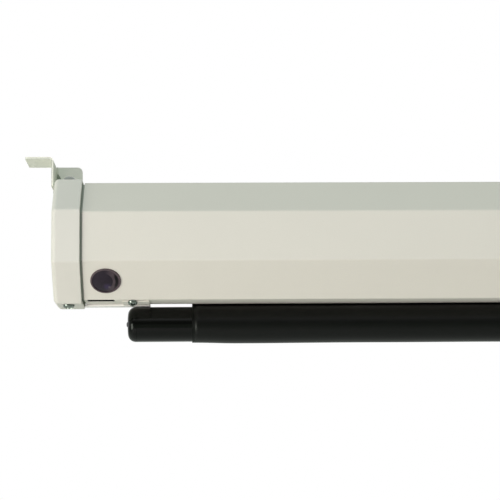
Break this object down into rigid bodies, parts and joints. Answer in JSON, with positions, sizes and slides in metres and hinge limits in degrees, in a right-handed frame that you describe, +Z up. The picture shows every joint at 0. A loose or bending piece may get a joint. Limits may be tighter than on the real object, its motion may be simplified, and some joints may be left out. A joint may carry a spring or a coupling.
{
  "type": "motorised projector screen",
  "caption": "Eight-sided case on sheet-metal end brackets, with a motor roller that lowers a projection fabric on a round weighted bottom bar.",
  "frame": {"origin": "middle of the box round the whole screen in its rolled-up state", "axes": "+X along the case away from the motor end, +Z up, -Y towards the viewers and +Y towards the wall"},
  "size_m": [1.7534, 0.0868, 0.1294],
  "materials": {
    "case_paint": "fine powder coat, warm off-white",
    "cap_plastic": "satin off-white plastic",
    "bracket_paint": "powder coat",
    "frame_metal": "painted casting",
    "bar_paint": "satin black",
    "black_plastic": "satin",
    "black_fabric": "matte black border",
    "white_fabric": "matte white screen",
    "screw_steel": "zinc plated",
    "roller_metal": "mill finish",
    "motor_steel": "zinc plated tube",
    "lens": "dark purple infrared filter",
    "board": "solder mask",
    "white_plastic": "satin",
    "brass": "polished"
  },
  "bodies": {
    "case": {"case_shell": "case_paint", "left_end_cap": "cap_plastic", "right_end_cap": "cap_plastic", "left_end_frame": "frame_metal", "right_end_frame": "frame_metal", "left_mount_bracket": "bracket_paint", "right_mount_bracket": "bracket_paint", "left_hanger_stud": "screw_steel", "right_hanger_stud": "screw_steel", "left_slot_cover": "case_paint", "right_slot_cover": "case_paint", "left_cap_screw_top": "screw_steel", "left_cap_screw_bottom": "screw_steel", "right_cap_screw_top": "screw_steel", "right_cap_screw_bottom": "screw_steel", "left_case_screw_top": "screw_steel", "left_case_screw_bottom": "screw_steel", "right_case_screw_top": "screw_steel", "right_case_screw_bottom": "screw_steel", "left_cover_screw": "screw_steel", "right_cover_screw": "screw_steel", "ir_window": "lens", "ir_carrier": "black_plastic", "ir_receiver_board": "board", "ir_sensor": "black_plastic", "control_jack": "black_plastic", "power_inlet": "black_plastic", "inlet_pin_1": "brass", "inlet_pin_2": "brass", "control_tray": "black_plastic", "control_board": "board", "terminal_block": "white_plastic", "motor_relay": "white_plastic", "run_capacitor": "white_plastic", "inlet_lead": "black_plastic", "motor_lead": "black_plastic", "sensor_lead": "black_plastic", "motor_head": "black_plastic", "motor_tube": "motor_steel", "motor_screw_1": "screw_steel", "motor_screw_2": "screw_steel", "idler_bush": "white_plastic"},
    "roller": {"roller_tube": "roller_metal", "fabric_key": "white_plastic", "crown_ring": "black_plastic", "drive_wheel": "black_plastic", "drive_shaft": "screw_steel", "idler_plug": "black_plastic", "idler_pin": "screw_steel", "fabric_roll": "black_fabric"},
    "bottom_bar": {"weight_bar": "bar_paint", "left_bar_cap": "black_plastic", "right_bar_cap": "black_plastic", "fabric_hem": "black_fabric", "fabric_drop": "white_fabric"},
    "upper_limit": {"upper_limit_adjuster": "white_plastic"},
    "lower_limit": {"lower_limit_adjuster": "white_plastic"}
  },
  "joints": [
    {"name": "screen_drop", "type": "slide", "parent": "case", "child": "bottom_bar", "axis": [0, 0, -1], "range_m": [0, 1.327], "deforming": ["fabric_drop"]},
    {"name": "roller_spin", "type": "hinge", "parent": "case", "child": "roller", "pos_m": [0, -0.01289, 0.00595], "axis": [1, 0, 0], "range_deg": [-3460, 0]},
    {"name": "upper_limit_turn", "type": "hinge", "parent": "case", "child": "upper_limit", "pos_m": [-0.8085, 0.01165, -0.003], "axis": [0, 0, 1], "range_deg": [-1080, 1080]},
    {"name": "lower_limit_turn", "type": "hinge", "parent": "case", "child": "lower_limit", "pos_m": [-0.7985, 0.01165, -0.003], "axis": [0, 0, 1], "range_deg": [-1080, 1080]}
  ],
  "couplings": [
    {"joint": "roller_spin", "follows": "screen_drop", "rad_per_m": -44.73}
  ]
}
